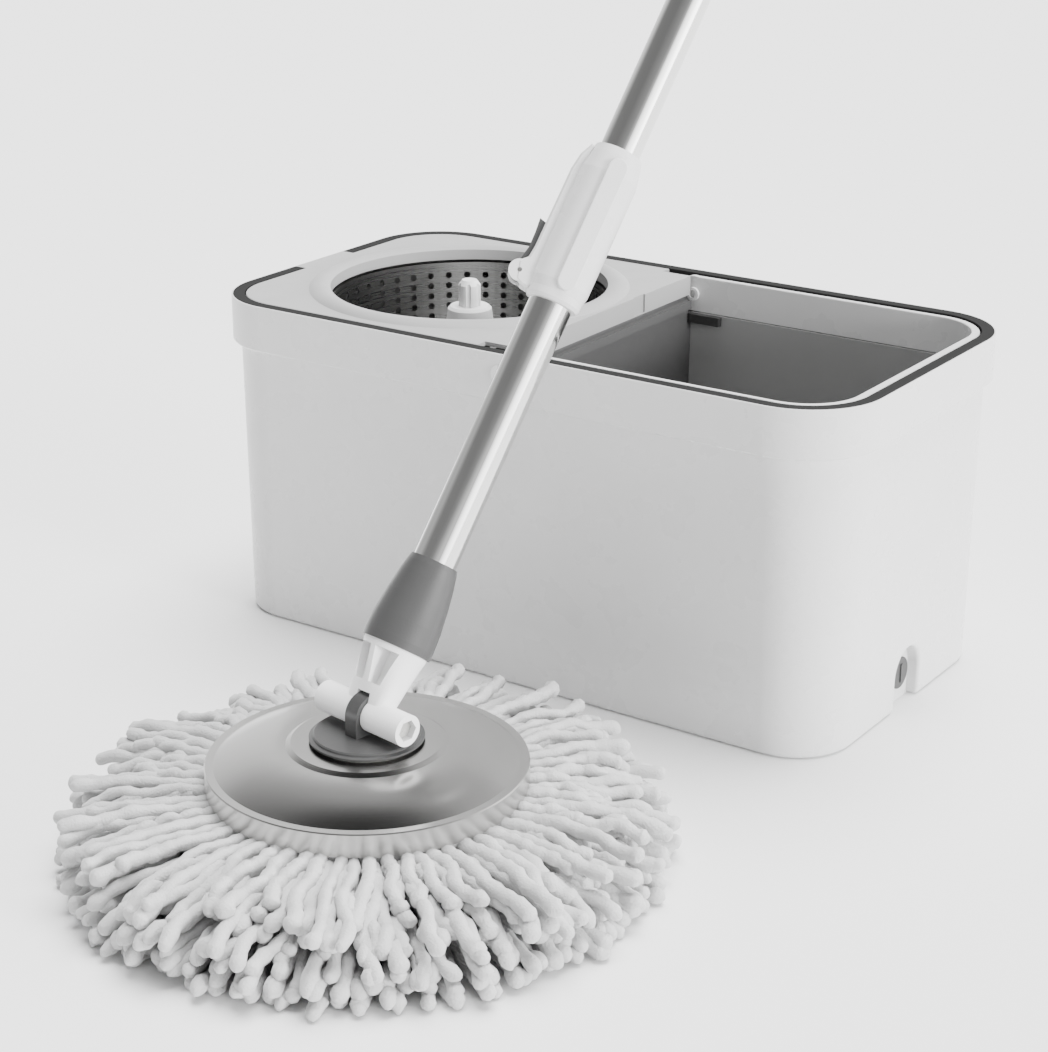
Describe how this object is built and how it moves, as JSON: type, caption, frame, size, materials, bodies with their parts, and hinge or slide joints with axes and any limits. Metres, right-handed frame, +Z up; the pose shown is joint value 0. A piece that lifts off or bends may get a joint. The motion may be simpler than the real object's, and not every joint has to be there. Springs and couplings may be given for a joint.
{
  "type": "spin mop with bucket",
  "caption": "Round yarn mop on a telescoping tilting pole, with a rectangular bucket that holds a rinsing compartment and a spinning wringer basket.",
  "frame": {"origin": "centre of the bucket's footprint, on the floor", "axes": "+Z up; +X along the bucket towards its drain; the mop stands on the -Y side and its pole leans over +Y"},
  "size_m": [0.427, 0.7902, 0.983],
  "materials": {
    "white_plastic": "satin injection-moulded polypropylene",
    "white_satin_plastic": "fine-grained moulded plastic",
    "grey_tub_plastic": "semi-gloss dark grey moulded plastic",
    "grey_plastic": "mid grey matt moulded plastic",
    "grey_rubber": "soft grey rubber",
    "brushed_steel": "circular-brushed stainless steel",
    "polished_steel": "polished stainless tube",
    "zinc_steel": "bright zinc-plated steel",
    "acetal": "natural acetal",
    "core_plastic": "moulded grey polypropylene",
    "yarn": "twisted microfibre chenille yarn, off-white"
  },
  "bodies": {
    "bucket": {"outer_shell": "white_plastic", "inner_tub": "grey_tub_plastic", "rubber_feet": "grey_rubber", "tub_screws": "zinc_steel", "handle_pins": "white_satin_plastic", "handle_stops": "grey_plastic", "spindle": "zinc_steel", "spindle_nut": "zinc_steel", "thrust_washer": "acetal"},
    "handle": {"carry_handle": "white_plastic"},
    "cover": {"wringer_cover": "white_plastic"},
    "basket": {"spin_basket": "brushed_steel", "drive_post": "white_satin_plastic", "clamp_plate": "core_plastic", "clamp_screws": "zinc_steel", "lower_bush": "acetal", "upper_bush": "acetal"},
    "plug": {"drain_plug": "grey_rubber"},
    "mop_hub": {"hub_disc": "grey_plastic", "glide_ring": "acetal", "hub_washer": "zinc_steel", "hub_screw": "zinc_steel"},
    "mop_head": {"head_plate": "brushed_steel", "head_core": "core_plastic", "yarn_ring": "core_plastic", "yarn_fringe": "yarn", "plate_screws": "zinc_steel"},
    "lower_pole": {"fork": "white_plastic", "knuckle_pin": "zinc_steel", "grey_socket": "grey_plastic", "lower_tube": "polished_steel", "rod_anchor": "acetal", "twisted_rod": "zinc_steel", "lock_collar": "white_plastic", "lever_pin": "zinc_steel"},
    "lever": {"lock_lever": "grey_plastic"},
    "upper_pole": {"upper_tube": "polished_steel", "nut_housing": "acetal", "hand_grip": "white_satin_plastic", "hanging_cap": "white_satin_plastic"},
    "turning_nut": {"drive_nut": "acetal"}
  },
  "joints": [
    {"name": "handle_swing", "type": "hinge", "parent": "bucket", "child": "handle", "pos_m": [0.004, 0, 0.1885], "axis": [0, -1, 0], "range_deg": [0, 90]},
    {"name": "cover_lift", "type": "slide", "parent": "bucket", "child": "cover", "axis": [0, 0, 1], "range_m": [0, 0.15]},
    {"name": "basket_spin", "type": "hinge", "parent": "bucket", "child": "basket", "pos_m": [-0.096, 0, 0.1], "axis": [0, 0, 1], "continuous": true},
    {"name": "plug_pull", "type": "slide", "parent": "bucket", "child": "plug", "axis": [1, 0, 0], "range_m": [0, 0.03]},
    {"name": "mop_lift", "type": "slide", "parent": "bucket", "child": "mop_hub", "axis": [0, 0, 1], "range_m": [0, 0.35]},
    {"name": "head_spin", "type": "hinge", "parent": "mop_hub", "child": "mop_head", "pos_m": [0.0625, -0.3087, 0.04], "axis": [0, 0, 1], "continuous": true},
    {"name": "knuckle_tilt", "type": "hinge", "parent": "mop_hub", "child": "lower_pole", "pos_m": [0.0625, -0.3087, 0.0754], "axis": [0.9848, -0.1736, 0], "range_deg": [-15, 110]},
    {"name": "lever_flip", "type": "hinge", "parent": "lower_pole", "child": "lever", "pos_m": [0.06819, -0.18518, 0.27105], "axis": [0.5394, -0.719, 0.4383], "range_deg": [0, 100]},
    {"name": "pole_slide", "type": "slide", "parent": "lower_pole", "child": "upper_pole", "axis": [0.1008, 0.5719, 0.8141], "range_m": [-0.15, 0]},
    {"name": "nut_turn", "type": "hinge", "parent": "upper_pole", "child": "turning_nut", "pos_m": [0.0625, -0.3087, 0.0754], "axis": [0.1008, 0.5719, 0.8141], "range_deg": [-390, 5]}
  ],
  "couplings": [
    {"joint": "nut_turn", "follows": "pole_slide", "rad_per_m": 44.88}
  ]
}
